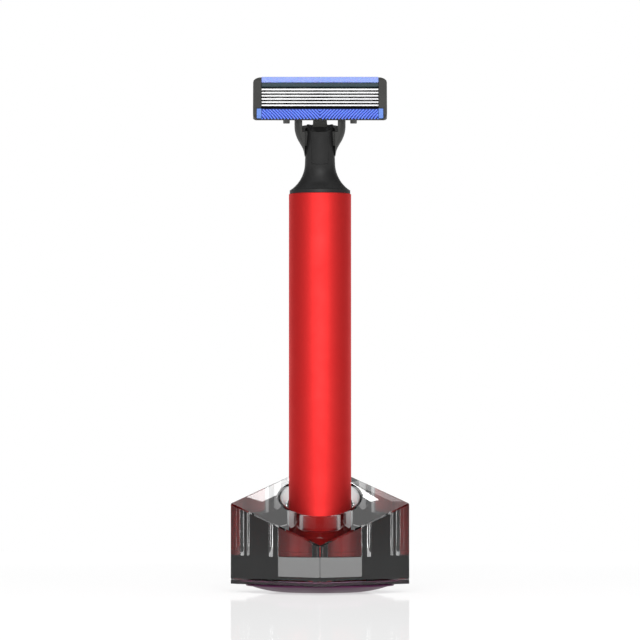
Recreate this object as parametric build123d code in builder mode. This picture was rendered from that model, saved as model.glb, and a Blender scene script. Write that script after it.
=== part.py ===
from build123d import *
import os
from math import asin, atan, cos, pi, radians, sin, sqrt, tan

# Cartridge razor standing in its own block stand. Millimetres, +Z up, and the razor faces -Y.
# The origin is the middle of the stand's underside. The handle stands behind it, and is drawn on
# its own centre line and moved back to the socket as it is saved.

# ---- driving dimensions: the stand ----
block_side = 40.0  # plan of the block, a square turned to show a corner
block_bottom = 4.0
corner_top = 27.9  # height of the left and right corners; the front one is lower
top_slope = 24.3  # degrees that the top leans to the front
block_bevel = 0.35
handle_back = 5.5  # the handle's centre line, behind the middle of the stand
socket_radius = 10.4
socket_floor = 11.1
socket_mouth_round = 3.2
plate_thickness = 1.4
foot_rim_radius = 23.3
foot_flat_radius = 10.0

# ---- driving dimensions: the handle ----
tube_radius = 9.85
tube_wall = 1.75
tube_top = 125.5
tube_end_chamfer = 0.2
end_cap_flange = 1.5
plug_clearance = 0.1
plug_length = 8.0
ring_groove_depth = 0.85
ring_groove_width = 1.2
ring_thickness = 0.92
rod_radius = 2.0
rod_ballast_radius = 3.2
thread_clearance = 0.02
insert_radius = 3.0
insert_length = 8.0

# ---- driving dimensions: the neck, which leans to the front ----
collar_radius = 9.57
collar_height = 1.1
waist_height = 135.4
waist_half_width = 4.75
waist_half_depth = 4.25
flare_radius = 10.5  # concave sweep from the collar in to the waist
neck_lean = 20.0
nose_top_front = 144.5  # height of the nose's front edge

# ---- driving dimensions: the cartridge ----
head_width = 42.0
face_length = 14.45  # from the guard's lower edge to the cap's upper edge
face_tilt = 20.0  # degrees that the face looks up
pivot_height = 149.43
pivot_back = -1.1  # pivot's place across the nose, towards the back
pivot_up_face = 2.86  # pivot's place from the guard's lower edge, along the face
pivot_behind_face = 5.9
pivot_travel = 38.0
blade_count = 6
blade_pitch = 1.085
first_edge = 3.88  # first blade's edge, from the guard's lower edge
blade_rake = 22.0
blade_width = 0.65
blade_thickness = 0.1
support_thickness = 0.25
blade_half_length = 18.3

os.makedirs("parts", exist_ok=True)


def save(part, name, back=0):
    placed = part.moved(Location((0, back, 0)))
    placed.label = name
    export_step(placed, f"parts/{name}.step")


# ---- planes that the pieces share ----
lean_sin, lean_cos = sin(radians(neck_lean)), cos(radians(neck_lean))
nose_up = Vector(0, -lean_sin, lean_cos)
nose_back = Vector(0, lean_cos, lean_sin)
collar_top = tube_top + collar_height
lean_rate = tan(radians(neck_lean)) / (2 * (waist_height - collar_top))


def neck_centre(height):
    # the neck leaves the collar upright and bends to the nose's lean at the waist
    return Vector(0, -lean_rate * (height - collar_top) ** 2, height)


waist = neck_centre(waist_height)
# across the nose: x sideways, y to the back, offset along the nose
nose_plane = Plane(origin=waist, x_dir=(1, 0, 0), z_dir=nose_up)
# the nose from its side: x to the back, y along the nose, offset sideways
side_plane = Plane(origin=waist, x_dir=nose_back, z_dir=(1, 0, 0))
# the nose from its front: x sideways, y along the nose, offset to the front
front_plane = Plane(origin=waist, x_dir=(1, 0, 0), z_dir=-nose_back)

pivot_along = (pivot_height - waist_height - pivot_back * lean_sin) / lean_cos
pivot = waist + nose_up * pivot_along + nose_back * pivot_back

tilt_sin, tilt_cos = sin(radians(face_tilt)), cos(radians(face_tilt))
face_up = Vector(0, tilt_sin, tilt_cos)
face_out = Vector(0, -tilt_cos, tilt_sin)
face_foot = pivot - face_up * pivot_up_face + face_out * pivot_behind_face
# the face from its front: x sideways, y up the face, offset outwards
face_plane = Plane(origin=face_foot, x_dir=(1, 0, 0), z_dir=face_out)
# the cartridge's section: x up the face, y outwards, offset sideways
section_plane = Plane(origin=face_foot, x_dir=face_up, z_dir=(1, 0, 0))

# ================= stand =================
top_plane = Plane(
    origin=(0, 0, corner_top),
    z_dir=(0, -sin(radians(top_slope)), cos(radians(top_slope))),
)
half_diagonal = block_side / sqrt(2)
back_top = corner_top + half_diagonal * tan(radians(top_slope))

with BuildPart() as stand_block:
    with BuildSketch(Plane.XY.offset(block_bottom)):
        Rectangle(block_side, block_side, rotation=45)
    extrude(amount=back_top)
    split(bisect_by=top_plane, keep=Keep.BOTTOM)
    chamfer(stand_block.edges(), block_bevel)
    with BuildSketch(Plane.XY.offset(socket_floor)):
        with Locations((0, handle_back)):
            Circle(socket_radius)
    extrude(amount=back_top, mode=Mode.SUBTRACT)
    mouth = stand_block.edges().filter_by(GeomType.ELLIPSE).sort_by(Axis.Z)[-1]
    fillet(mouth, socket_mouth_round)
save(stand_block.part, "stand_block")

plate_bottom = block_bottom - plate_thickness
with BuildPart() as base_plate:
    with BuildSketch(Plane.XY.offset(plate_bottom)):
        Rectangle(block_side, block_side, rotation=45)
    extrude(amount=plate_thickness)
    chamfer(base_plate.edges().filter_by(Axis.Z), block_bevel)
save(base_plate.part, "base_plate")

with BuildPart() as foot_pad:
    with BuildSketch(Plane.XZ):
        with BuildLine():
            rim = (foot_rim_radius, plate_bottom)
            flat_end = (foot_flat_radius, 0)
            Polyline((0, 0), flat_end)
            TangentArc(flat_end, rim, tangent=(1, 0))
            Polyline(rim, (0, plate_bottom), (0, 0))
        make_face()
    revolve(axis=Axis.Z)
save(foot_pad.part, "foot_pad")

# ================= handle =================
tube_bottom = socket_floor + end_cap_flange
bore_radius = tube_radius - tube_wall
plug_radius = bore_radius - plug_clearance
groove_radius = plug_radius - ring_groove_depth
ring_radius = (groove_radius + bore_radius) / 2

with BuildPart() as handle_tube:
    with BuildSketch(Plane.XY.offset(tube_bottom)):
        Circle(tube_radius)
        Circle(bore_radius, mode=Mode.SUBTRACT)
    extrude(amount=tube_top - tube_bottom)
    chamfer(handle_tube.edges().filter_by(GeomType.CIRCLE), tube_end_chamfer)
save(handle_tube.part, "handle_tube", handle_back)

# screwed onto the tie rod; a coin turns it by the slot in its underside
cap_ring_height = tube_bottom + plug_length / 2
rod_bottom = tube_bottom + 2.2
with BuildPart() as end_cap:
    with BuildSketch(Plane.XY.offset(socket_floor)):
        Circle(tube_radius)
    extrude(amount=end_cap_flange)
    fillet(end_cap.edges().sort_by(Axis.Z)[0], 0.6)
    with BuildSketch(Plane.XY.offset(tube_bottom)):
        Circle(plug_radius)
    extrude(amount=plug_length)
    with BuildSketch(Plane.XY.offset(cap_ring_height - ring_groove_width / 2)):
        Circle(tube_radius)
        Circle(groove_radius, mode=Mode.SUBTRACT)
    extrude(amount=ring_groove_width, mode=Mode.SUBTRACT)
    with BuildSketch(Plane.XY.offset(rod_bottom)):
        Circle(rod_radius + thread_clearance)
    extrude(amount=plug_length, mode=Mode.SUBTRACT)
    with BuildSketch(Plane.XY.offset(socket_floor)):
        SlotOverall(11, 1.4)
    extrude(amount=0.8, mode=Mode.SUBTRACT)
save(end_cap.part, "end_cap", handle_back)

neck_ring_height = tube_top - 6
for ring_name, ring_height in (("end_cap_ring", cap_ring_height), ("neck_ring", neck_ring_height)):
    with BuildPart() as seal_ring:
        with BuildSketch(Plane.XZ):
            with Locations((ring_radius, ring_height)):
                Circle(ring_thickness / 2)
        revolve(axis=Axis.Z)
    save(seal_ring.part, ring_name, handle_back)

# thick in the middle, so that it also gives the handle its weight
spigot_bottom = tube_top - 12
rod_top = spigot_bottom + 7.3
ballast_bottom = tube_bottom + plug_length + 3.5
ballast_top = spigot_bottom - 5
with BuildPart() as tie_rod:
    with BuildSketch(Plane.XZ):
        with BuildLine():
            Polyline(
                (0, rod_bottom + 0.2),
                (rod_radius, rod_bottom + 0.2),
                (rod_radius, ballast_bottom),
                (rod_ballast_radius, ballast_bottom + 1),
                (rod_ballast_radius, ballast_top - 1),
                (rod_radius, ballast_top),
                (rod_radius, rod_top),
                (0, rod_top),
                close=True,
            )
        make_face()
    revolve(axis=Axis.Z)
save(tie_rod.part, "tie_rod", handle_back)

with BuildPart() as threaded_insert:
    with BuildSketch(Plane.XY.offset(spigot_bottom)):
        Circle(insert_radius)
        Circle(rod_radius + thread_clearance, mode=Mode.SUBTRACT)
    extrude(amount=insert_length)
save(threaded_insert.part, "threaded_insert", handle_back)

# ================= neck =================
# numbers here are (across the nose to the back, along the nose from the waist)
flare_steps = 5
# (along the nose, half width)
nose_sections = ((1.6, 4.7), (3.2, 4.55), (5.2, 4.38), (7.8, 4.2), (10.4, 4.05), (13, 3.95))
nose_half_depth = 4.3
saddle_half_width = 2.6  # the nose's top edge dips between raised corners
saddle_rise = 1.5
button_half_width = 2.65
button_low = 0.6
button_back = -3.2
bar_low, bar_high = 1.2, 2.8
bar_front, bar_back = -0.8, 0.4
bar_half_width = 3.95
groove_low = 4.0
side_gap = 0.1
groove_inner = 3.5
button_spring_top = 7.3
button_spring_back = -1.9
channel_front, channel_back = 1.45, 3.15
foot_low, foot_high = 3.6, 6.1
foot_half_width = 2.9
tongue_half_width = 2.3
tip_half_width = 1.95
spring_seat = -1.5
cover_low = -4.4
cover_half_width = 2.75
cover_gap = 0.06
screw_along = -2.9
screw_side = 1.4
screw_seat = 0.45
screw_head = 0.6
beyond = 20.0  # longer than any cut needs

nose_front_along = (nose_top_front - waist_height + waist_half_depth * lean_sin) / lean_cos


def box_across(half_width, front, back, low, high, mode=Mode.ADD):
    # a block on the nose: its half width, its reach across the nose and its reach along it
    with BuildSketch(side_plane.offset(-half_width)) as outline:
        with Locations(((front + back) / 2, (low + high) / 2)):
            Rectangle(back - front, high - low)
    extrude(outline.sketch, amount=2 * half_width, mode=mode)


# outer form, from which the neck, the rear cover and the eject button are all cut
with BuildPart() as neck_form:
    flare_height = waist_height - collar_top
    flare_angle = asin(flare_height / flare_radius)
    for step in range(flare_steps):
        angle = flare_angle * (1 - step / flare_steps)
        below = flare_radius * sin(angle)
        spread = flare_radius * (1 - cos(angle))
        height = waist_height - below
        section_lean = atan(2 * lean_rate * (height - collar_top))
        section = Plane(
            origin=neck_centre(height),
            x_dir=(1, 0, 0),
            z_dir=(0, -sin(section_lean), cos(section_lean)),
        )
        rounder = (waist_half_width - waist_half_depth) * below / flare_height
        with BuildSketch(section):
            Ellipse(waist_half_width + spread, waist_half_depth + spread + rounder)
    with BuildSketch(nose_plane):
        Ellipse(waist_half_width, waist_half_depth)
    for section_along, half_width in nose_sections:
        with BuildSketch(nose_plane.offset(section_along)):
            Ellipse(half_width, nose_half_depth)
    loft()
    with BuildSketch(front_plane.offset(-beyond)):
        with BuildLine():
            Polyline(
                (-saddle_half_width, nose_front_along),
                (saddle_half_width, nose_front_along),
                (5, nose_front_along + saddle_rise),
                (5, beyond),
                (-5, beyond),
                (-5, nose_front_along + saddle_rise),
                close=True,
            )
        make_face()
    extrude(amount=2 * beyond, mode=Mode.SUBTRACT)
    with BuildSketch(Plane.XY.offset(tube_top)):
        Circle(collar_radius)
    extrude(amount=collar_height)

with BuildPart() as neck:
    add(neck_form.part)
    with BuildSketch(Plane.XY.offset(spigot_bottom)):
        Circle(plug_radius)
    extrude(amount=tube_top - spigot_bottom)
    with BuildSketch(Plane.XY.offset(neck_ring_height - ring_groove_width / 2)):
        Circle(tube_radius)
        Circle(groove_radius, mode=Mode.SUBTRACT)
    extrude(amount=ring_groove_width, mode=Mode.SUBTRACT)
    with BuildSketch(Plane.XY.offset(spigot_bottom)):
        Circle(insert_radius)
    extrude(amount=insert_length, mode=Mode.SUBTRACT)
    # recess for the button, its spring pocket and the way for its cross bar
    box_across(button_half_width, -beyond, button_back, button_low, beyond, Mode.SUBTRACT)
    box_across(1.2, button_back - 1, bar_back + side_gap, bar_low - side_gap, 5.5, Mode.SUBTRACT)
    bar_room = bar_half_width + side_gap
    box_across(bar_room, bar_front - side_gap, bar_back + side_gap, bar_low - side_gap, 6, Mode.SUBTRACT)
    with BuildSketch(nose_plane.offset(bar_low)):
        with Locations((0, button_spring_back)):
            Circle(1.15)
    extrude(amount=button_spring_top - bar_low, mode=Mode.SUBTRACT)
    # side grooves for the connector's rails
    with BuildSketch(nose_plane.offset(groove_low)):
        for side in (-1, 1):
            with Locations((side * (groove_inner + 2), (bar_front + bar_back) / 2)):
                Rectangle(4, bar_back - bar_front + 2 * side_gap)
    extrude(amount=beyond, mode=Mode.SUBTRACT)
    # channel for the plunger, open to the back
    foot_room = foot_half_width + side_gap
    box_across(foot_room, channel_front, channel_back, spring_seat, foot_high + 0.1, Mode.SUBTRACT)
    box_across(tongue_half_width + side_gap, channel_front, channel_back, foot_high, beyond, Mode.SUBTRACT)
    box_across(cover_half_width, channel_back, beyond, cover_low, beyond, Mode.SUBTRACT)
    with BuildSketch(front_plane.offset(-channel_back)):
        with Locations((-screw_side, screw_along), (screw_side, screw_along)):
            Circle(0.5)
    extrude(amount=3.2, mode=Mode.SUBTRACT)
save(neck.part, "neck", handle_back)

with BuildPart() as neck_cover:
    add(neck_form.part)
    box_across(
        cover_half_width - cover_gap, channel_back, beyond, cover_low + cover_gap, beyond, Mode.INTERSECT
    )
    with BuildSketch(front_plane.offset(-beyond)):
        with Locations((-screw_side, screw_along), (screw_side, screw_along)):
            Circle(0.52)
    extrude(amount=beyond, mode=Mode.SUBTRACT)
    with BuildSketch(front_plane.offset(-beyond)):
        with Locations((-screw_side, screw_along), (screw_side, screw_along)):
            Circle(1.0)
    extrude(amount=beyond - channel_back - screw_seat, mode=Mode.SUBTRACT)
save(neck_cover.part, "neck_cover", handle_back)

with BuildPart() as cover_screws:
    for side in (-1, 1):
        with BuildSketch(front_plane.offset(-channel_back - screw_seat)):
            with Locations((side * screw_side, screw_along)):
                Circle(0.5)
        extrude(amount=3.4)
        with BuildSketch(front_plane.offset(-channel_back - screw_seat)):
            with Locations((side * screw_side, screw_along)):
                Circle(0.95)
        extrude(amount=-screw_head)
        with BuildSketch(front_plane.offset(-channel_back - screw_seat - screw_head / 2)):
            with Locations((side * screw_side, screw_along)):
                Rectangle(1.1, 0.25)
                Rectangle(0.25, 1.1)
        extrude(amount=-1, mode=Mode.SUBTRACT)
save(cover_screws.part, "cover_screws", handle_back)

# the button is the front of the nose; its cross bar pushes the connector's rails off
with BuildPart() as eject_button:
    add(neck_form.part)
    button_width = button_half_width - side_gap
    box_across(button_width, -beyond, button_back - side_gap, button_low + side_gap, beyond, Mode.INTERSECT)
    box_across(1.1, button_back - 0.5, bar_back, bar_low, bar_high)
    box_across(bar_half_width, bar_front, bar_back, bar_low, bar_high)
save(eject_button.part, "eject_button", handle_back)

# one piece: a foot in the wide part of the channel and a tongue that tapers to a rounded tip
plunger_front, plunger_back = channel_front + side_gap, channel_back - side_gap
plunger_middle = (plunger_front + plunger_back) / 2
tip_radius = (plunger_back - plunger_front) / 2
cam_along = pivot_along + 1.75  # underside of the cartridge's cam
tip_gap = 0.3
tip_centre_along = cam_along - tip_gap - tip_radius
with BuildPart() as plunger:
    with BuildSketch(side_plane.offset(-foot_half_width)):
        with Locations((plunger_middle, (foot_low + tip_centre_along) / 2)):
            Rectangle(2 * tip_radius, tip_centre_along - foot_low)
        with Locations((plunger_middle, tip_centre_along)):
            Circle(tip_radius)
    extrude(amount=2 * foot_half_width)
    with BuildSketch(front_plane.offset(-beyond)):
        with BuildLine():
            Polyline(
                (-foot_half_width, foot_low),
                (foot_half_width, foot_low),
                (foot_half_width, foot_high),
                (tongue_half_width, foot_high),
                (tongue_half_width, nose_front_along),
                (tip_half_width, tip_centre_along),
                (tip_half_width, tip_centre_along + beyond),
                (-tip_half_width, tip_centre_along + beyond),
                (-tip_half_width, tip_centre_along),
                (-tongue_half_width, nose_front_along),
                (-tongue_half_width, foot_high),
                (-foot_half_width, foot_high),
                close=True,
            )
        make_face()
    extrude(amount=2 * beyond, mode=Mode.INTERSECT)
save(plunger.part, "plunger", handle_back)


def coil_spring(across, low, high, outer_radius, wire, turns):
    mean_radius = outer_radius - wire / 2
    coil_start = nose_plane.offset(low + wire / 2).from_local_coords((0, across, 0))
    coil_height = high - low - wire
    with BuildPart() as coil:
        with BuildLine() as path:
            Helix(
                pitch=coil_height / turns,
                height=coil_height,
                radius=mean_radius,
                center=coil_start,
                direction=nose_up,
            )
        with BuildSketch(Plane(origin=path.line @ 0, z_dir=path.line % 0)):
            Circle(wire / 2)
        sweep()
    return coil.part


button_coil = coil_spring(button_spring_back, bar_high + 0.02, button_spring_top - 0.02, 0.95, 0.24, 5.5)
save(button_coil, "button_spring", handle_back)
plunger_coil = coil_spring(plunger_middle, spring_seat + 0.02, foot_low - 0.02, 0.78, 0.26, 6.5)
save(plunger_coil, "plunger_spring", handle_back)

# ================= connector =================
wing_back = 0.45  # centre of the wings' outline, behind the nose's centre
# (along the nose, half width, half depth): the wings start as a thin edge round the nose
wing_sections = ((2.0, 4.89, 4.3), (3.0, 5.04, 4.38), (4.22, 5.36, 4.5), (5.6, 6.02, 4.75))
wing_sections += ((7.1, 6.87, 5.0), (8.6, 7.53, 5.2), (10.2, 7.93, 5.35), (12, 8.05, 5.4))
wing_inner_width, wing_inner_depth = 4.75, 4.6
arm_inner = 5.6
arm_radius = 1.45
pin_radius = 0.8
pin_reach = 11.3
connector_low = 2.0
bridge_back = 5.75
bridge_top = 10.8
rail_low, rail_high = 5.7, 10.2
rail_inner = 3.6
saddle_inner = 2.8

with BuildPart() as connector:
    for section_along, half_width, half_depth in wing_sections:
        with BuildSketch(nose_plane.offset(section_along)):
            with Locations((0, wing_back)):
                Ellipse(half_width, half_depth)
    loft()
    with BuildSketch(nose_plane.offset(section_along)):
        with Locations((0, wing_back)):
            Ellipse(half_width, half_depth)
    extrude(amount=beyond)
    # cut to its outline from the side
    with BuildSketch(side_plane.offset(-beyond)):
        with BuildLine():
            Polyline(
                (-2.9, connector_low),
                (beyond, connector_low),
                (beyond, 7.0),
                (bridge_back, 7.0),
                (bridge_back, bridge_top),
                (pivot_back + arm_radius + 0.4, pivot_along - 1.2),
                (pivot_back, pivot_along),
                (pivot_back - arm_radius, pivot_along),
                (-2.9, 12.5),
                close=True,
            )
        make_face()
        with Locations((pivot_back, pivot_along)):
            Circle(arm_radius)
    extrude(amount=2 * beyond, mode=Mode.INTERSECT)
    # room for the nose, and for the button and plunger above it
    with BuildSketch(nose_plane):
        Ellipse(wing_inner_width, wing_inner_depth)
    extrude(amount=beyond, mode=Mode.SUBTRACT)
    box_across(wing_inner_width, -beyond, -0.5, 0, beyond, Mode.SUBTRACT)
    box_across(arm_inner, -beyond, beyond, bridge_top, beyond, Mode.SUBTRACT)
    for side in (-1, 1):
        with BuildSketch(nose_plane.offset(rail_low)):
            with Locations((side * (rail_inner + 0.8), (bar_front + bar_back) / 2)):
                Rectangle(1.6, bar_back - bar_front)
        extrude(amount=rail_high - rail_low)
        with BuildSketch(side_plane.offset(side * (arm_inner + 0.5))):
            with Locations((pivot_back, pivot_along)):
                Circle(pin_radius)
        extrude(amount=side * (pin_reach - arm_inner - 0.5))
save(connector.part, "connector", handle_back)

# ================= cartridge =================
# numbers here are (sideways, up the face, outwards from the face)
housing_back = -4.1
wall_inner = 18.4
guard_half_width = 19.8
guard_low, guard_high = 0.25, 3.05
guard_front = -0.45
guard_seat = -1.8
blade_floor = -3.0
strip_low, strip_high = 10.6, 14.05
strip_seat = -1.7
retainer_seat = -1.5
lug_inner, lug_outer = 9.5, 11.6
lug_radius = 2.2
seam = 0.05


def box_on_face(left, right, low, high, inner, outer, mode=Mode.ADD):
    with BuildSketch(face_plane.offset(inner)) as outline:
        with Locations(((left + right) / 2, (low + high) / 2)):
            Rectangle(right - left, high - low)
    extrude(outline.sketch, amount=outer - inner, mode=mode)


with BuildPart() as cartridge_form:
    with BuildSketch(section_plane.offset(-head_width / 2)):
        with BuildLine():
            Polyline(
                (0, -1.5),
                (0, -2.4),
                (1.5, housing_back),
                (12.7, housing_back),
                (face_length, -2.9),
                (face_length, -1.5),
                (12.6, 0),
                (1.2, 0),
                close=True,
            )
        make_face()
    extrude(amount=head_width)
    fillet(cartridge_form.edges().filter_by(Axis.X), 0.35)
    with BuildSketch(face_plane.offset(-beyond)):
        with Locations((0, face_length / 2)):
            Rectangle(head_width, face_length)
        top_corners = vertices().sort_by(Axis.Y)[-2:]
        fillet(top_corners, 2.7)
        fillet(vertices().sort_by(Axis.Y)[:2], 1.4)
    extrude(amount=2 * beyond, mode=Mode.INTERSECT)

# lug that turns on the connector's pin; the housing has one on each side
with BuildPart() as lug:
    with BuildSketch(section_plane.offset(lug_inner)):
        with Locations((pivot_up_face, -pivot_behind_face)):
            Circle(lug_radius)
        with Locations((pivot_up_face, (housing_back - pivot_behind_face) / 2 + 0.1)):
            Rectangle(2 * lug_radius, housing_back + pivot_behind_face + 0.2)
    extrude(amount=lug_outer - lug_inner)
    with BuildSketch(face_plane.offset(-beyond)):
        with Locations(((lug_inner + lug_outer) / 2, pivot_up_face)):
            Rectangle(lug_outer - lug_inner, 2 * lug_radius)
        fillet(vertices().sort_by(Axis.Y)[:2], 0.8)
    extrude(amount=2 * beyond, mode=Mode.INTERSECT)
    with BuildSketch(section_plane.offset(lug_inner)):
        with Locations((pivot_up_face, -pivot_behind_face)):
            Circle(pin_radius + 0.05)
    extrude(amount=beyond, mode=Mode.SUBTRACT)

with BuildPart() as cartridge_housing:
    add(cartridge_form.part)
    blades_low = guard_high + 0.15
    guard_room = guard_half_width + seam
    box_on_face(-wall_inner, wall_inner, blades_low, strip_low - seam, blade_floor, beyond, Mode.SUBTRACT)
    box_on_face(-guard_room, guard_room, -1, blades_low, guard_seat, beyond, Mode.SUBTRACT)
    box_on_face(-wall_inner, wall_inner, strip_low - seam, beyond, strip_seat, beyond, Mode.SUBTRACT)
    for side in (-1, 1):
        middle = side * (wall_inner + 5)
        box_on_face(middle - 5, middle + 5, blades_low, beyond, retainer_seat, beyond, Mode.SUBTRACT)
    # rinsing windows in the back, with ribs between them
    with BuildSketch(face_plane.offset(-beyond)):
        with Locations((-13.6, 7.3), (-6.1, 7.3), (6.1, 7.3), (13.6, 7.3)):
            RectangleRounded(6.4, 5.6, 0.8)
    extrude(amount=2 * beyond, mode=Mode.SUBTRACT)
    add(lug.part)
    add(mirror(lug.part, Plane.YZ))
    # cam that the plunger presses
    with BuildSketch(side_plane.offset(-2.2)):
        with BuildLine():
            Polyline(
                (pivot_back + 1.9, cam_along),
                (pivot_back + 5.0, cam_along),
                (pivot_back + 5.0, pivot_along + 9.4),
                (pivot_back + 1.9, pivot_along + 5.7),
                close=True,
            )
        make_face()
    extrude(amount=4.4)
save(cartridge_housing.part, "cartridge_housing", handle_back)

for retainer_name, side in (("retainer_left", -1), ("retainer_right", 1)):
    with BuildPart() as retainer:
        add(cartridge_form.part)
        middle = side * (wall_inner + seam + 5)
        box_on_face(middle - 5, middle + 5, guard_high + 0.2, beyond, retainer_seat, beyond, Mode.INTERSECT)
    save(retainer.part, retainer_name, handle_back)

with BuildPart() as strip_holder:
    with BuildSketch(section_plane.offset(-wall_inner + seam)):
        with BuildLine():
            Polyline(
                (strip_low, strip_seat),
                (strip_high, strip_seat),
                (strip_high, -1.55),
                (12.1, -0.95),
                (12.05, -0.55),
                (11.75, -0.12),
                (10.85, -0.05),
                (strip_low, -0.3),
                close=True,
            )
        make_face()
    extrude(amount=2 * (wall_inner - seam))
save(strip_holder.part, "strip_holder", handle_back)

with BuildPart() as lubricating_strip:
    with BuildSketch(section_plane.offset(-wall_inner + seam)):
        with BuildLine():
            Polyline(
                (12.1, -0.95),
                (strip_high, -1.55),
                (14.35, -1.6),
                (14.35, -1.0),
                (14.1, -0.7),
                (12.35, -0.08),
                (12.12, -0.22),
                close=True,
            )
        make_face()
    extrude(amount=2 * (wall_inner - seam))
save(lubricating_strip.part, "lubricating_strip", handle_back)

# guard: a light bar that carries rows of soft fins, meeting in a V at the middle
guard_slope_top = 1.0


def guard_layer(left, right, thickness, mode=Mode.ADD):
    # a layer over the bar's flat front and the slope below it
    slope = atan((guard_slope_top - guard_low) / 0.65)
    with BuildSketch(section_plane.offset(left)) as outline:
        with BuildLine():
            Polyline(
                (guard_low, guard_front - 0.65),
                (guard_slope_top, guard_front),
                (guard_high, guard_front),
                (guard_high, guard_front + thickness),
                (guard_slope_top - thickness * tan((pi / 2 - slope) / 2), guard_front + thickness),
                (guard_low - thickness * cos(slope), guard_front - 0.65 + thickness * sin(slope)),
                close=True,
            )
        make_face()
    extrude(outline.sketch, amount=right - left, mode=mode)


with BuildPart() as guard_base:
    with BuildSketch(section_plane.offset(-guard_half_width)):
        with BuildLine():
            Polyline(
                (guard_low + 0.2, guard_seat),
                (guard_high, guard_seat),
                (guard_high, guard_front),
                (guard_slope_top, guard_front),
                (guard_low, guard_front - 0.65),
                close=True,
            )
        make_face()
    extrude(amount=2 * guard_half_width)
    guard_layer(-guard_half_width, -wall_inner, 0.36)
    guard_layer(wall_inner, guard_half_width, 0.36)
save(guard_base.part, "guard_base", handle_back)

fin_pitch = 1.02
fin_width = 0.46
fin_foot, fin_head = -0.3, 3.4
fin_rise = fin_head - fin_foot
with BuildPart() as guard_fins:
    with BuildSketch(face_plane.offset(-2)):
        for place in range(-3, 18):
            foot = (place - 0.3) * fin_pitch
            with BuildLine(mode=Mode.PRIVATE) as fin_line:
                Polyline(
                    (foot, fin_foot),
                    (foot + fin_width * sqrt(2), fin_foot),
                    (foot + fin_width * sqrt(2) + fin_rise, fin_head),
                    (foot + fin_rise, fin_head),
                    close=True,
                )
            make_face(fin_line.edges())
        with Locations(((wall_inner - seam) / 2, (fin_foot + fin_head) / 2)):
            Rectangle(wall_inner - seam, fin_rise, mode=Mode.INTERSECT)
        mirror(about=Plane.YZ)
    extrude(amount=2.5)
    guard_layer(-wall_inner + seam, wall_inner - seam, 0.4, Mode.INTERSECT)
    guard_layer(-wall_inner + seam, wall_inner - seam, 0.14)
save(guard_fins.part, "guard_fins", handle_back)

# blades, each on its own bent support
rake_cos, rake_sin = cos(radians(blade_rake)), sin(radians(blade_rake))


def on_blade(edge, along, out):
    return (edge + along * rake_cos + out * rake_sin, -along * rake_sin + out * rake_cos)


for number in range(1, blade_count + 1):
    edge = first_edge + (number - 1) * blade_pitch
    half_thickness = blade_thickness / 2
    with BuildPart() as blade:
        with BuildSketch(section_plane.offset(-blade_half_length)):
            with BuildLine():
                Polyline(
                    on_blade(edge, 0, 0),
                    on_blade(edge, 0.28, half_thickness),
                    on_blade(edge, blade_width, half_thickness),
                    on_blade(edge, blade_width, -half_thickness),
                    on_blade(edge, 0.28, -half_thickness),
                    close=True,
                )
            make_face()
        extrude(amount=2 * blade_half_length)
    save(blade.part, f"blade_{number}", handle_back)

    heel = on_blade(edge, blade_width, -half_thickness)
    toe = on_blade(edge, 0.3, -half_thickness)
    toe_under = on_blade(edge, 0.3, -half_thickness - support_thickness)
    inner_rise = (heel[0] - support_thickness - toe_under[0]) * rake_sin / rake_cos
    with BuildPart() as blade_support:
        with BuildSketch(section_plane.offset(-blade_half_length)):
            with BuildLine():
                Polyline(
                    toe,
                    heel,
                    (heel[0], blade_floor),
                    (heel[0] - support_thickness, blade_floor),
                    (heel[0] - support_thickness, toe_under[1] - inner_rise),
                    toe_under,
                    close=True,
                )
            make_face()
        extrude(amount=2 * blade_half_length)
    save(blade_support.part, f"blade_support_{number}", handle_back)
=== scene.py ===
import bpy, bmesh
from math import radians, asin, cos, sin, tan, pi
from mathutils import Vector, Matrix


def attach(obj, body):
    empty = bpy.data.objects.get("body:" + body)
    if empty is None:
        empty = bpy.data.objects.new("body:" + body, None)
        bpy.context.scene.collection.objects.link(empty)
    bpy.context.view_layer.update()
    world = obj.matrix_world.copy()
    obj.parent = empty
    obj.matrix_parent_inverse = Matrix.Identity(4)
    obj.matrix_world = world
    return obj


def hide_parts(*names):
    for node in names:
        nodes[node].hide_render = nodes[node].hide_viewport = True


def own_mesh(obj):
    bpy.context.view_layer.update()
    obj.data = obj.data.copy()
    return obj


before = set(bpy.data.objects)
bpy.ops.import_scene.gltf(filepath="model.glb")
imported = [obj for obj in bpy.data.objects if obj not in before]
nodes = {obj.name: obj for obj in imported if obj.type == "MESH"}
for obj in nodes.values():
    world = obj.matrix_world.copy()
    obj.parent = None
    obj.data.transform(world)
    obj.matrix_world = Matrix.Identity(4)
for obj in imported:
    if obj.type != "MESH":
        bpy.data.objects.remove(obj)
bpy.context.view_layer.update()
scene = bpy.context.scene
scene.view_settings.view_transform = "Standard"
scene.cycles.use_denoising = True
scene.cycles.max_bounces = 24
scene.cycles.transmission_bounces = 20
scene.cycles.glossy_bounces = 8
mm = 0.001


def facing(start, aim):
    return (Vector(aim) - Vector(start)).to_track_quat("-Z", "Y").to_euler()


# the camera, the lights and the floor
camera = {"place": (0.0001, -1.4, 0.0509), "aim": (0, 0, 0.0855), "lens": 250.3, "sensor": 36}
cameraData = bpy.data.cameras.new("camera")
cameraObject = bpy.data.objects.new("camera", cameraData)
scene.collection.objects.link(cameraObject)
cameraObject.location = camera["place"]
cameraObject.rotation_euler = facing(camera["place"], camera["aim"])
cameraData.sensor_width = camera["sensor"]
cameraData.lens = camera["lens"]
cameraData.clip_start = 0.01
cameraData.clip_end = 20
scene.camera = cameraObject

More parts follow.
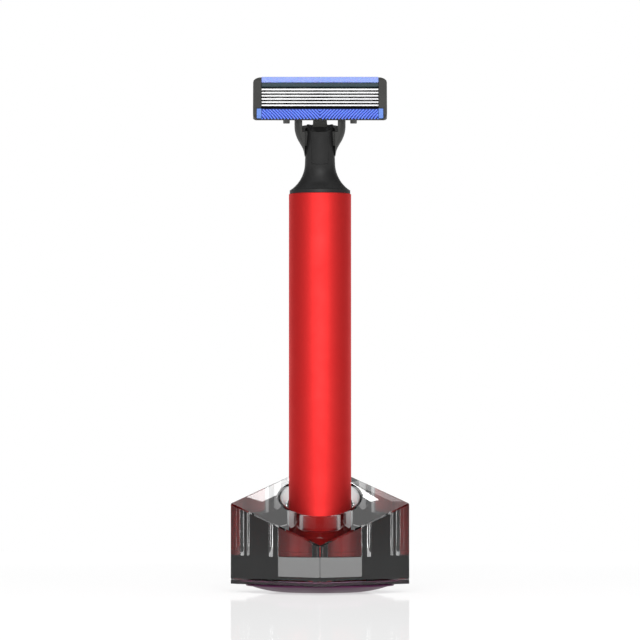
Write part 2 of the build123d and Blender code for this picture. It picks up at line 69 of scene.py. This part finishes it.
softboxes = {
    "front": {"place": (0, -1.3, 0.34), "aim": (0, 0, 0.09), "size": (0.7, 0.6), "power": 11.6},
    "top": {"place": (0, -0.2, 0.95), "aim": (0, 0, 0.05), "size": (1.0, 0.9), "power": 6},
}
for name, box in softboxes.items():
    data = bpy.data.lights.new(name, "AREA")
    data.shape = "RECTANGLE"
    data.size, data.size_y = box["size"]
    data.energy = box["power"]
    light = bpy.data.objects.new(name, data)
    light.location = box["place"]
    light.visible_transmission = False
    light.rotation_euler = facing(box["place"], box["aim"])
    scene.collection.objects.link(light)


def addNode(tree, kind, inputs=None, **settings):
    node = tree.nodes.new(kind)
    for key, value in settings.items():
        setattr(node, key, value)
    for key, value in (inputs or {}).items():
        node.inputs[key].default_value = value
    return node


def emptyMaterial(name):
    material = bpy.data.materials.new(name)
    material.use_nodes = True
    material.node_tree.nodes.clear()
    return material, material.node_tree


def glowMaterial(name, strength):
    material, tree = emptyMaterial(name)
    glow = addNode(tree, "ShaderNodeEmission", {"Color": white, "Strength": strength})
    out = addNode(tree, "ShaderNodeOutputMaterial")
    tree.links.new(glow.outputs[0], out.inputs[0])
    return material


white = (1, 1, 1, 1)
surround = {"seen": 1.0, "lighting": 0.06, "tint": (0.95, 0.97, 1, 1)}
world = bpy.data.worlds.new("surround")
scene.world = world
world.use_nodes = True
tree = world.node_tree
tree.nodes.clear()
rays = addNode(tree, "ShaderNodeLightPath")
seen = addNode(tree, "ShaderNodeBackground", {"Color": white, "Strength": surround["seen"]})
lighting = addNode(tree, "ShaderNodeBackground", {"Color": surround["tint"], "Strength": surround["lighting"]})
either = addNode(tree, "ShaderNodeMixShader")
worldOut = addNode(tree, "ShaderNodeOutputWorld")
tree.links.new(rays.outputs["Is Camera Ray"], either.inputs[0])
tree.links.new(lighting.outputs[0], either.inputs[1])
tree.links.new(seen.outputs[0], either.inputs[2])
tree.links.new(either.outputs[0], worldOut.inputs[0])


def flatPlane(name, corners, material):
    mesh = bpy.data.meshes.new(name)
    mesh.from_pydata(corners, [], [(0, 1, 2, 3)])
    plane = bpy.data.objects.new(name, mesh)
    scene.collection.objects.link(plane)
    mesh.materials.append(material)
    return plane


# a pale floor that glows a little of itself and mirrors faintly
floorLook = {"white": 0.5, "own": 0.62, "mirror": 0.2, "blur": 0.05, "reach": 3}
floorFinish, tree = emptyMaterial("paleFloor")
matt = addNode(tree, "ShaderNodeBsdfDiffuse", {"Color": (floorLook["white"],) * 3 + (1,)})
sheen = addNode(tree, "ShaderNodeBsdfGlossy", {"Color": white, "Roughness": floorLook["blur"]})
own = addNode(tree, "ShaderNodeEmission", {"Color": white, "Strength": floorLook["own"]})
pale = addNode(tree, "ShaderNodeAddShader")
both = addNode(tree, "ShaderNodeMixShader", {"Fac": floorLook["mirror"]})
out = addNode(tree, "ShaderNodeOutputMaterial")
tree.links.new(matt.outputs[0], pale.inputs[0])
tree.links.new(own.outputs[0], pale.inputs[1])
tree.links.new(pale.outputs[0], both.inputs[1])
tree.links.new(sheen.outputs[0], both.inputs[2])
tree.links.new(both.outputs[0], out.inputs[0])
backdrop = {"back": 0.45, "half": 0.6, "top": 0.3, "glow": 1.0}
reach, back = floorLook["reach"], backdrop["back"]
corners = [(-reach, -reach, 0), (reach, -reach, 0), (reach, back, 0), (-reach, back, 0)]
flatPlane("floor", corners, floorFinish)

half, top = backdrop["half"], backdrop["top"]
corners = [(-half, back, 0), (half, back, 0), (half, back, top), (-half, back, top)]
card = flatPlane("backdrop", corners, glowMaterial("backdrop", backdrop["glow"]))
# only the mirrored light needs it: past the floor's back edge the surround is as pale
card.visible_camera = False
card.visible_transmission = False

# panels seen mirrored in the stand's slanted top, each given by the patch of top, in mm, that mirrors it
slantTop = {"height": 0.0279, "slope": radians(24.3)}
panels = {
    "skyPanel": {"patch": ((-60, -60), (60, -60), (60, 60), (-60, 60)), "glow": 0.95, "away": 0.8},
    "leftBand": {"patch": ((-23, 4.2), (-18.3, 1.0), (-5, 14.0), (-9, 18.6)), "glow": 7, "away": 0.75},
    "rightBand": {"patch": ((8, 17), (18.6, 2.2), (15.8, 1.0), (6, 14)), "glow": 9, "away": 0.75},
    "rightEdge": {"patch": ((12, 15.5), (26, 1.2), (22.5, 1.2), (10, 14)), "glow": 2.4, "away": 0.74},
}


def mirroredPlace(across, back, away):
    slope = slantTop["slope"]
    onTop = Vector((across * mm, back * mm, slantTop["height"] + back * mm * tan(slope)))
    sight = (onTop - cameraObject.location).normalized()
    return onTop + sight.reflect(Vector((0, -sin(slope), cos(slope)))) * away


def glowingCard(name, corners, strength):
    card = flatPlane(name, corners, glowMaterial(name, strength))
    card.visible_camera = False
    card.visible_diffuse = False
    card.visible_shadow = False
    return card


for name, panel in panels.items():
    corners = [mirroredPlace(*spot, panel["away"]) for spot in panel["patch"]]
    glowingCard(name, corners, panel["glow"]).visible_transmission = False

# upright cards behind the block, seen only through it: bright lines, and flags that keep its sides dark
uprights = {"away": 0.5, "foot": 0.001, "top": 0.12, "glow": 8, "bearings": ((22, 2.2), (48, 2.2), (66, 1.2))}
flags = {"away": 0.045, "foot": 0.001, "top": 0.12, "glow": 0.012, "front": -0.05, "back": 0.03}


def standingCard(name, ends, look):
    (firstAcross, firstBack), (lastAcross, lastBack) = ends
    corners = [(firstAcross, firstBack, look["foot"]), (lastAcross, lastBack, look["foot"])]
    corners += [(lastAcross, lastBack, look["top"]), (firstAcross, firstBack, look["top"])]
    glowingCard(name, corners, look["glow"]).visible_glossy = False


for side, sideName in ((-1, "left"), (1, "right")):
    for number, (bearing, width) in enumerate(uprights["bearings"], 1):
        turns = [radians(bearing + width / 2 * end) for end in (-1, 1)]
        ends = [(side * sin(turn) * uprights["away"], cos(turn) * uprights["away"]) for turn in turns]
        standingCard(f"{sideName}Upright{number}", ends, uprights)
    across = side * flags["away"]
    standingCard(f"{sideName}Flag", [(across, flags["front"]), (across, flags["back"])], flags)
print("studio set")


def finishStart(name):
    finish, tree = emptyMaterial(name)
    shader = addNode(tree, "ShaderNodeBsdfPrincipled")
    out = addNode(tree, "ShaderNodeOutputMaterial")
    tree.links.new(shader.outputs[0], out.inputs["Surface"])
    return finish, tree, shader, out


def grain(tree, coords, scale, detail=3.0, stretch=(1, 1, 1)):
    # noise with its size given in grains per millimetre
    place = addNode(tree, "ShaderNodeMapping", {"Scale": tuple(1000 * scale * s for s in stretch)})
    noise = addNode(tree, "ShaderNodeTexNoise", {"Scale": 1.0, "Detail": detail})
    tree.links.new(coords.outputs["Object"], place.inputs["Vector"])
    tree.links.new(place.outputs[0], noise.inputs["Vector"])
    return noise.outputs[0]


def spread(tree, value, low, high, fromLow=0.3, fromHigh=0.7):
    limits = {"From Min": fromLow, "From Max": fromHigh, "To Min": low, "To Max": high}
    ranged = addNode(tree, "ShaderNodeMapRange", limits)
    tree.links.new(value, ranged.inputs["Value"])
    return ranged.outputs[0]


def blendColour(tree, share, first, second):
    mix = addNode(tree, "ShaderNodeMix", data_type="RGBA")
    for key, value in (("A", first), ("B", second)):
        socket = [s for s in mix.inputs if s.name == key and s.type == "RGBA"][0]
        if isinstance(value, tuple):
            socket.default_value = value + (1,)
        else:
            tree.links.new(value, socket)
    tree.links.new(share, mix.inputs["Factor"])
    return [s for s in mix.outputs if s.type == "RGBA"][0]


def edgeMask(tree, radius):
    # the normal with its edges rounded, and a mask that is 1 on them
    rounded = addNode(tree, "ShaderNodeBevel", {"Radius": radius * mm}, samples=6)
    flat = addNode(tree, "ShaderNodeNewGeometry")
    agree = addNode(tree, "ShaderNodeVectorMath", operation="DOT_PRODUCT")
    tree.links.new(rounded.outputs[0], agree.inputs[0])
    tree.links.new(flat.outputs["Normal"], agree.inputs[1])
    return rounded.outputs[0], spread(tree, agree.outputs["Value"], 1, 0, 0.8, 1.0)


mottle = {"patches": 0.12, "scuffs": 1.1, "leastWear": 0.1}


def solidFinish(name, look):
    # patches of a second tone, worn edges, and a fine grain in the bump
    finish, tree, shader, _ = finishStart(name)
    coords = addNode(tree, "ShaderNodeTexCoord")
    patches = grain(tree, coords, mottle["patches"], 4)
    fine = grain(tree, coords, look["grain"], 3, look.get("stretch", (1, 1, 1)))
    rounded, edges = edgeMask(tree, look["edge"])
    tone = blendColour(tree, spread(tree, patches, 0, 1), look["colour"], look["second"])
    wornShare = addNode(tree, "ShaderNodeMath", operation="MULTIPLY")
    tree.links.new(edges, wornShare.inputs[0])
    scuffs = grain(tree, coords, mottle["scuffs"])
    tree.links.new(spread(tree, scuffs, mottle["leastWear"], look["wear"]), wornShare.inputs[1])
    tone = blendColour(tree, wornShare.outputs[0], tone, look["worn"])
    tree.links.new(tone, shader.inputs["Base Color"])
    uneven = fine if look.get("fineGloss") else patches
    tree.links.new(spread(tree, uneven, *look["roughness"]), shader.inputs["Roughness"])
    bump = addNode(tree, "ShaderNodeBump", {"Strength": look["bump"], "Distance": look["depth"] * mm})
    tree.links.new(fine, bump.inputs["Height"])
    tree.links.new(rounded, bump.inputs["Normal"])
    tree.links.new(bump.outputs[0], shader.inputs["Normal"])
    for key, value in look.get("sockets", {}).items():
        shader.inputs[key].default_value = value
    return finish


def clearFinish(name, look):
    # a clear body that takes up light on the way through, with faint smudges and ripples on its skin
    finish, tree, shader, out = finishStart(name)
    coords = addNode(tree, "ShaderNodeTexCoord")
    smudge = grain(tree, coords, look["smudge"], 4)
    tree.links.new(spread(tree, smudge, *look["roughness"]), shader.inputs["Roughness"])
    ripple = grain(tree, coords, look["ripple"], 2)
    bump = addNode(tree, "ShaderNodeBump", {"Strength": look["bump"], "Distance": look["depth"] * mm})
    tree.links.new(ripple, bump.inputs["Height"])
    tree.links.new(bump.outputs[0], shader.inputs["Normal"])
    shader.inputs["Base Color"].default_value = look["colour"] + (1,)
    shader.inputs["Transmission Weight"].default_value = 1.0
    shader.inputs["IOR"].default_value = look["ior"]
    inside = {"Color": look["inside"] + (1,), "Density": look["density"]}
    body = addNode(tree, "ShaderNodeVolumeAbsorption", inside)
    tree.links.new(body.outputs[0], out.inputs["Volume"])
    return finish


redAnodised = solidFinish("redAnodised", {
    "colour": (0.84, 0.045, 0.044), "second": (0.79, 0.04, 0.04), "worn": (0.95, 0.16, 0.14), "wear": 0.4,
    "roughness": (0.6, 0.66), "grain": 7, "bump": 0.12, "depth": 0.006, "edge": 0.12,
    "sockets": {"Metallic": 1.0},
})
charcoal = solidFinish("charcoalPlastic", {
    "colour": (0.019, 0.019, 0.019), "second": (0.024, 0.024, 0.024), "worn": (0.06, 0.06, 0.06), "wear": 0.4,
    "roughness": (0.46, 0.54), "grain": 6, "bump": 0.18, "depth": 0.008, "edge": 0.12,
    "sockets": {"Specular IOR Level": 0.22},
})
housingPlastic = solidFinish("housingPlastic", {
    "colour": (0.036, 0.036, 0.034), "second": (0.044, 0.044, 0.042), "worn": (0.09, 0.09, 0.088), "wear": 0.4,
    "roughness": (0.42, 0.5), "grain": 6, "bump": 0.18, "depth": 0.008, "edge": 0.12,
    "sockets": {"Specular IOR Level": 0.25},
})
plungerPlastic = solidFinish("plungerPlastic", {
    "colour": (0.05, 0.05, 0.044), "second": (0.062, 0.062, 0.055), "worn": (0.1, 0.1, 0.1), "wear": 0.5,
    "roughness": (0.3, 0.4), "grain": 3, "bump": 0.08, "depth": 0.006, "edge": 0.15,
    "sockets": {"Specular IOR Level": 0.3},
})
tealPlastic = solidFinish("tealPlastic", {
    "colour": (0.022, 0.042, 0.05), "second": (0.03, 0.052, 0.058), "worn": (0.08, 0.12, 0.14), "wear": 0.4,
    "roughness": (0.4, 0.5), "grain": 5, "bump": 0.12, "depth": 0.006, "edge": 0.08,
    "sockets": {"Specular IOR Level": 0.3},
})
# the supports' steel is painted near black, as painted shade in the gaps between the blades
shadedSupportSteel = solidFinish("shadedSupportSteel", {
    "colour": (0.09, 0.09, 0.09), "second": (0.07, 0.07, 0.07), "worn": (0.2, 0.2, 0.2), "wear": 0.4,
    "roughness": (0.4, 0.5), "grain": 3, "bump": 0.15, "depth": 0.004, "edge": 0.05,
    "sockets": {"Metallic": 1.0},
})
bladeSteel = solidFinish("bladeSteel", {
    "colour": (0.66, 0.66, 0.66), "second": (0.58, 0.58, 0.59), "worn": (0.9, 0.9, 0.9), "wear": 0.6,
    "roughness": (0.34, 0.46), "grain": 2, "stretch": (0.06, 6, 6), "bump": 0.25, "depth": 0.004, "edge": 0.03,
    "fineGloss": True, "sockets": {"Metallic": 1.0},
})
springSteel = solidFinish("springSteel", {
    "colour": (0.4, 0.4, 0.41), "second": (0.34, 0.34, 0.36), "worn": (0.7, 0.7, 0.7), "wear": 0.4,
    "roughness": (0.3, 0.42), "grain": 3, "bump": 0.15, "depth": 0.004, "edge": 0.05,
    "sockets": {"Metallic": 1.0},
})
brass = solidFinish("brass", {
    "colour": (0.71, 0.5, 0.2), "second": (0.62, 0.42, 0.16), "worn": (0.9, 0.72, 0.4), "wear": 0.4,
    "roughness": (0.25, 0.4), "grain": 3, "bump": 0.15, "depth": 0.006, "edge": 0.1,
    "sockets": {"Metallic": 1.0},
})
blackRubber = solidFinish("blackRubber", {
    "colour": (0.015, 0.015, 0.015), "second": (0.022, 0.022, 0.022), "worn": (0.04, 0.04, 0.04), "wear": 0.4,
    "roughness": (0.55, 0.7), "grain": 5, "bump": 0.2, "depth": 0.01, "edge": 0.05,
})
stripBlue = solidFinish("stripBlue", {
    "colour": (0.25, 0.34, 0.78), "second": (0.29, 0.38, 0.82), "worn": (0.42, 0.52, 0.9), "wear": 0.5,
    "roughness": (0.4, 0.5), "grain": 1.2, "stretch": (0.15, 4, 4), "bump": 0.25, "depth": 0.01, "edge": 0.15,
    "sockets": {"Subsurface Weight": 0.15, "Subsurface Scale": 0.0006, "Specular IOR Level": 0.3},
})
guardEnds = {"from": 18.38, "colour": (0.14, 0.26, 0.68)}
# the guard bar's dark navy is painted shade standing in for the gaps between the fins; the fins and the end
# blocks carry the guard's own blue
shadedGuardBlue = solidFinish("shadedGuardBlue", {
    "colour": (0.028, 0.062, 0.3), "second": (0.034, 0.075, 0.34), "worn": (0.16, 0.27, 0.72), "wear": 0.6,
    "roughness": (0.36, 0.46), "grain": 5, "bump": 0.12, "depth": 0.006, "edge": 0.12,
    "sockets": {"Specular IOR Level": 0.3},
})
finBlue = solidFinish("finBlue", {
    "colour": (0.13, 0.22, 0.86), "second": (0.15, 0.25, 0.9), "worn": (0.3, 0.42, 0.98), "wear": 0.5,
    "roughness": (0.35, 0.5), "grain": 5, "bump": 0.15, "depth": 0.006, "edge": 0.05,
    "sockets": {"Subsurface Weight": 0.1, "Subsurface Scale": 0.0003, "Specular IOR Level": 0.3},
})
smokedAcrylic = clearFinish("smokedAcrylic", {
    "colour": (1, 1, 1), "ior": 1.49, "inside": (0.3, 0.3, 0.3), "density": 44,
    "smudge": 0.15, "roughness": (0.0, 0.015), "ripple": 0.08, "bump": 0.02, "depth": 0.01,
})
smokedPlate = clearFinish("smokedPlate", {
    "colour": (0.95, 0.9, 0.94), "ior": 1.49, "inside": (0.5, 0.2, 0.4), "density": 50,
    "smudge": 0.15, "roughness": (0.0, 0.03), "ripple": 0.08, "bump": 0.02, "depth": 0.01,
})
plumGel = solidFinish("plumGel", {
    "colour": (0.06, 0.01, 0.042), "second": (0.08, 0.014, 0.056), "worn": (0.2, 0.07, 0.15), "wear": 0.8,
    "roughness": (0.3, 0.4), "grain": 1, "bump": 0.1, "depth": 0.01, "edge": 0.3,
    "sockets": {"Specular IOR Level": 0.2},
})

# the guard's end blocks are paler than the bar between them: the bar's darker blue is painted shade for the
# gaps between the fins, and the end blocks keep the guard's own paler blue
tree = shadedGuardBlue.node_tree
shader = next(node for node in tree.nodes if node.type == "BSDF_PRINCIPLED")
shadedBar = shader.inputs["Base Color"].links[0].from_socket
coords = addNode(tree, "ShaderNodeTexCoord")
axes = addNode(tree, "ShaderNodeSeparateXYZ")
outward = addNode(tree, "ShaderNodeMath", operation="ABSOLUTE")
atEnd = addNode(tree, "ShaderNodeMath", {1: guardEnds["from"] * mm}, operation="GREATER_THAN")
tree.links.new(coords.outputs["Object"], axes.inputs[0])
tree.links.new(axes.outputs["X"], outward.inputs[0])
tree.links.new(outward.outputs[0], atEnd.inputs[0])
tree.links.new(blendColour(tree, atEnd.outputs[0], shadedBar, guardEnds["colour"]), shader.inputs["Base Color"])


def dress(finish, *names):
    for name in names:
        materials = nodes[name].data.materials
        if not materials:
            materials.append(finish)
        for index in range(len(materials)):
            materials[index] = finish


blades = [f"blade_{number}" for number in range(1, 7)]
supports = [f"blade_support_{number}" for number in range(1, 7)]
dress(redAnodised, "handle_tube", "end_cap")
dress(charcoal, "neck", "neck_cover", "eject_button")
dress(housingPlastic, "connector", "cartridge_housing", "retainer_left", "retainer_right")
dress(plungerPlastic, "plunger")
dress(tealPlastic, "strip_holder")
dress(bladeSteel, *blades)
dress(shadedSupportSteel, *supports)
dress(springSteel, "tie_rod", "cover_screws", "plunger_spring", "button_spring")
dress(brass, "threaded_insert")
dress(blackRubber, "end_cap_ring", "neck_ring")
dress(stripBlue, "lubricating_strip")
dress(shadedGuardBlue, "guard_base")
dress(finBlue, "guard_fins")
dress(smokedAcrylic, "stand_block")
dress(smokedPlate, "base_plate")
dress(plumGel, "foot_pad")
print("finishes on")

sharpFrom = radians(35)


def meshPiece(name, corners, faces, finish, body, smooth=True):
    mesh = bpy.data.meshes.new(name)
    mesh.from_pydata(corners, [], faces)
    mesh.materials.append(finish)
    work = bmesh.new()
    work.from_mesh(mesh)
    bmesh.ops.recalc_face_normals(work, faces=work.faces)
    for face in work.faces:
        face.smooth = smooth
    for edge in work.edges:
        edge.smooth = not edge.is_manifold or edge.calc_face_angle(0) < sharpFrom
    work.to_mesh(mesh)
    work.free()
    piece = bpy.data.objects.new(name, mesh)
    scene.collection.objects.link(piece)
    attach(piece, body)
    return piece


def turned(profile, steps):
    # corners and faces of a turned solid, from (radius, height) points that start and end on the axis
    corners, faces = [Vector((0, 0, profile[0][1]))], []
    rings = profile[1:-1]
    for radius, height in rings:
        for step in range(steps):
            angle = 2 * pi * step / steps
            corners.append(Vector((radius * cos(angle), radius * sin(angle), height)))
    corners.append(Vector((0, 0, profile[-1][1])))
    for step in range(steps):
        after = (step + 1) % steps
        faces.append((0, 1 + step, 1 + after))
        for ring in range(len(rings) - 1):
            low, high = 1 + ring * steps, 1 + (ring + 1) * steps
            faces.append((low + step, high + step, high + after, low + after))
        last = 1 + (len(rings) - 1) * steps
        faces.append((last + step, len(corners) - 1, last + after))
    return corners, faces


# the foot pad: a shallow gel dome under the plate
pad = {
    "flat": 10, "rim": 23.3, "top": 2.57, "lip": 0.25, "bend": 35.3, "inner": 12,
    "domeSteps": 18, "lipSteps": 6, "around": 160,
}
lipCentre = (pad["rim"] - pad["lip"], pad["top"] - pad["lip"])
sweep = asin((lipCentre[0] - pad["flat"]) / pad["bend"])
profile = [(0, 0), (pad["flat"] / 2, 0), (pad["flat"], 0)]
for step in range(1, pad["domeSteps"] + 1):
    angle = sweep * step / pad["domeSteps"]
    profile.append((pad["flat"] + pad["bend"] * sin(angle), pad["bend"] * (1 - cos(angle))))
for step in range(1, pad["lipSteps"] + 1):
    angle = pi * step / pad["lipSteps"] - pi / 2
    profile.append((lipCentre[0] + pad["lip"] * cos(angle), lipCentre[1] + pad["lip"] * sin(angle)))
profile += [(pad["inner"], pad["top"]), (0, pad["top"])]
corners, faces = turned([(radius * mm, height * mm) for radius, height in profile], pad["around"])
footPad = meshPiece("footPad", corners, faces, plumGel, "stand")
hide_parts("foot_pad")

# the base plate: a square with eased edges, set corner to the front like the block above it
plate = {"side": 40, "low": 2.6, "high": 3.97, "ease": 0.12, "corner": 0.35}
half = plate["side"] / 2
levels = [(plate["ease"], plate["low"]), (0, plate["low"] + plate["ease"])]
levels += [(0, plate["high"] - plate["ease"]), (plate["ease"], plate["high"])]
corners = []
for inset, height in levels:
    side, bevel = half - inset, half - plate["corner"]
    for turn in range(4):
        quarter = Matrix.Rotation(radians(45 + 90 * turn), 3, "Z")
        corners += [quarter @ Vector((*spot, height)) * mm for spot in ((side, bevel), (bevel, side))]
count = len(corners) // len(levels)
faces = [tuple(range(count)), tuple(range(len(corners) - count, len(corners)))]
for level in range(len(levels) - 1):
    low, high = level * count, (level + 1) * count
    for step in range(count):
        after = (step + 1) % count
        faces.append((low + step, low + after, high + after, high + step))
basePlate = meshPiece("basePlate", corners, faces, smokedPlate, "stand", smooth=False)
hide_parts("base_plate")
print("foot built")

# coil springs with closed ends, in the room that their nodes take
neckLean = radians(20)
noseUp = Vector((0, -sin(neckLean), cos(neckLean)))
noseSide = Vector((1, 0, 0))
noseBack = noseUp.cross(noseSide)
springs = {
    "plungerSpring": {
        "node": "plunger_spring", "joint": "plunger_slide", "held": "low", "keep": 0.5,
        "turns": 8.5, "wire": 0.13,
    },
    "buttonSpring": {
        "node": "button_spring", "joint": "button_slide", "held": "high", "keep": 0.44,
        "turns": 7.5, "wire": 0.12,
    },
}
coil = {"steps": 260, "around": 10, "closing": 0.055}
steps, ring = coil["steps"], coil["around"]
for name, spring in springs.items():
    cad = [corner.co for corner in nodes[spring["node"]].data.vertices]
    heights = [corner.dot(noseUp) for corner in cad]
    low, high = min(heights), max(heights)
    middle = sum(cad, Vector()) / len(cad)
    middle -= noseUp * middle.dot(noseUp)
    wire = spring["wire"] * mm
    reach = (max(corner.x for corner in cad) - min(corner.x for corner in cad)) / 2 - wire
    travel = high - low - 2 * wire
    corners, faces = [], []
    for step in range(steps + 1):
        share = step / steps
        # the first and last turns lie nearly flat
        rise = share - coil["closing"] * sin(2 * pi * share)
        angle = 2 * pi * spring["turns"] * share
        outward = noseSide * cos(angle) + noseBack * sin(angle)
        centre = middle + noseUp * (low + wire + travel * rise) + outward * reach
        for part in range(ring):
            turn = 2 * pi * part / ring
            corners.append(centre + outward * wire * cos(turn) + noseUp * wire * sin(turn))
    for step in range(steps):
        here, ahead = step * ring, (step + 1) * ring
        for part in range(ring):
            after = (part + 1) % ring
            faces.append((here + part, here + after, ahead + after, ahead + part))
    faces += [tuple(range(ring)), tuple(range(steps * ring, (steps + 1) * ring))]
    piece = meshPiece(name, corners, faces, springSteel, "handle")
    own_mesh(piece)
    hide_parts(spring["node"])
print("springs built")

# the guard's fins: soft ridges in a V over its front and its slope, made for one half and mirrored
fins = {
    "pitch": 1.02, "halfWidth": 0.25, "low": 0.14, "high": 2.97, "slopeTop": 1.0, "slope": -0.86, "end": 18.2,
    "count": 22, "early": -3.3, "points": 40, "around": 14, "down": -0.25, "out": -0.21,
}
faceTilt = radians(20)
faceUp = Vector((0, sin(faceTilt), cos(faceTilt)))
faceOut = Vector((0, -cos(faceTilt), sin(faceTilt)))
guardCorners = [corner.co for corner in nodes["guard_base"].data.vertices]
guardFoot = min(corner.dot(faceUp) for corner in guardCorners)
guardFront = max(corner.dot(faceOut) for corner in guardCorners)

group = bpy.data.node_groups.new("finRows", "GeometryNodeTree")
group.interface.new_socket("Geometry", in_out="INPUT", socket_type="NodeSocketGeometry")
for label in ("Pitch", "Rise", "Half Width", "Slope Top", "End"):
    group.interface.new_socket(label, in_out="INPUT", socket_type="NodeSocketFloat")
group.interface.new_socket("Finish", in_out="INPUT", socket_type="NodeSocketMaterial")
group.interface.new_socket("Geometry", in_out="OUTPUT", socket_type="NodeSocketGeometry")
given = addNode(group, "NodeGroupInput")
made = addNode(group, "NodeGroupOutput")


def join(start, end):
    group.links.new(start, end)


def feed(node, values):
    for socket, value in zip(node.inputs, values):
        if isinstance(value, (int, float)):
            socket.default_value = value
        else:
            join(value, socket)
    return node.outputs[0]


def sums(operation, first, second):
    return feed(addNode(group, "ShaderNodeMath", operation=operation), (first, second))


def vector(*parts):
    return feed(addNode(group, "ShaderNodeCombineXYZ"), parts)


# slanting lines in a row, cut at the middle and at the end, then bent back over the slope
rise = given.outputs["Rise"]
line = addNode(group, "GeometryNodeCurvePrimitiveLine")
join(vector(rise, rise, 0), line.inputs["End"])
fine = addNode(group, "GeometryNodeResampleCurve", {"Count": fins["points"]})
join(line.outputs[0], fine.inputs["Curve"])
row = addNode(group, "GeometryNodeMeshLine", {"Count": fins["count"]}, mode="OFFSET")
join(vector(sums("MULTIPLY", given.outputs["Pitch"], fins["early"]), 0, 0), row.inputs["Start Location"])
join(vector(given.outputs["Pitch"], 0, 0), row.inputs["Offset"])
lines = addNode(group, "GeometryNodeInstanceOnPoints")
join(row.outputs[0], lines.inputs["Points"])
join(fine.outputs[0], lines.inputs["Instance"])
realLines = addNode(group, "GeometryNodeRealizeInstances")
join(lines.outputs[0], realLines.inputs[0])
place = addNode(group, "GeometryNodeInputPosition")
axes = addNode(group, "ShaderNodeSeparateXYZ")
join(place.outputs[0], axes.inputs[0])
outside = addNode(group, "FunctionNodeBooleanMath", operation="OR")
join(sums("LESS_THAN", axes.outputs["X"], 0.0), outside.inputs[0])
join(sums("GREATER_THAN", axes.outputs["X"], given.outputs["End"]), outside.inputs[1])
trimmed = addNode(group, "GeometryNodeDeleteGeometry", domain="POINT")
join(realLines.outputs[0], trimmed.inputs["Geometry"])
join(outside.outputs[0], trimmed.inputs["Selection"])
bent = addNode(group, "GeometryNodeSetPosition")
below = sums("MAXIMUM", sums("SUBTRACT", given.outputs["Slope Top"], axes.outputs["Y"]), 0.0)
join(trimmed.outputs[0], bent.inputs["Geometry"])
join(vector(0, 0, sums("MULTIPLY", below, fins["slope"])), bent.inputs["Offset"])
ridge = addNode(group, "GeometryNodeCurvePrimitiveCircle", {"Resolution": fins["around"]})
join(given.outputs["Half Width"], ridge.inputs["Radius"])
skin = addNode(group, "GeometryNodeCurveToMesh", {"Fill Caps": True})
join(bent.outputs[0], skin.inputs["Curve"])
join(ridge.outputs[0], skin.inputs["Profile Curve"])
otherHalf = addNode(group, "GeometryNodeTransform", {"Scale": (-1, 1, 1)})
join(skin.outputs[0], otherHalf.inputs["Geometry"])
turnedOut = addNode(group, "GeometryNodeFlipFaces")
join(otherHalf.outputs[0], turnedOut.inputs[0])
bothHalves = addNode(group, "GeometryNodeJoinGeometry")
join(skin.outputs[0], bothHalves.inputs[0])
join(turnedOut.outputs[0], bothHalves.inputs[0])
real = addNode(group, "GeometryNodeRealizeInstances")
join(bothHalves.outputs[0], real.inputs[0])
dressed = addNode(group, "GeometryNodeSetMaterial")
join(real.outputs[0], dressed.inputs["Geometry"])
join(given.outputs["Finish"], dressed.inputs["Material"])
join(dressed.outputs[0], made.inputs[0])

seedMesh = bpy.data.meshes.new("finSeed")
seedObject = bpy.data.objects.new("finSeed", seedMesh)
scene.collection.objects.link(seedObject)
modifier = seedObject.modifiers.new("rows", "NODES")
modifier.node_group = group
settings = {
    "Pitch": fins["pitch"] * mm,
    "Rise": (fins["high"] - fins["low"]) * mm,
    "Half Width": fins["halfWidth"] * mm,
    "Slope Top": (fins["slopeTop"] - fins["low"]) * mm,
    "End": fins["end"] * mm,
    "Finish": finBlue,
}
for item in group.interface.items_tree:
    if item.in_out == "INPUT" and item.name in settings:
        modifier[item.identifier] = settings[item.name]
graph = bpy.context.evaluated_depsgraph_get()
mesh = bpy.data.meshes.new_from_object(seedObject.evaluated_get(graph))
bpy.data.objects.remove(seedObject)
toWorld = Matrix((Vector((1, 0, 0)), faceUp, faceOut)).transposed().to_4x4()
foot = faceUp * (guardFoot + (fins["low"] + fins["down"]) * mm)
toWorld.translation = foot + faceOut * (guardFront + fins["out"] * mm)
mesh.transform(toWorld)
mesh.name = "guardFins"
for face in mesh.polygons:
    face.use_smooth = True
guardFins = bpy.data.objects.new("guardFins", mesh)
scene.collection.objects.link(guardFins)
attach(guardFins, "cartridge")
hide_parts("guard_fins")
print("fins built", len(mesh.polygons))
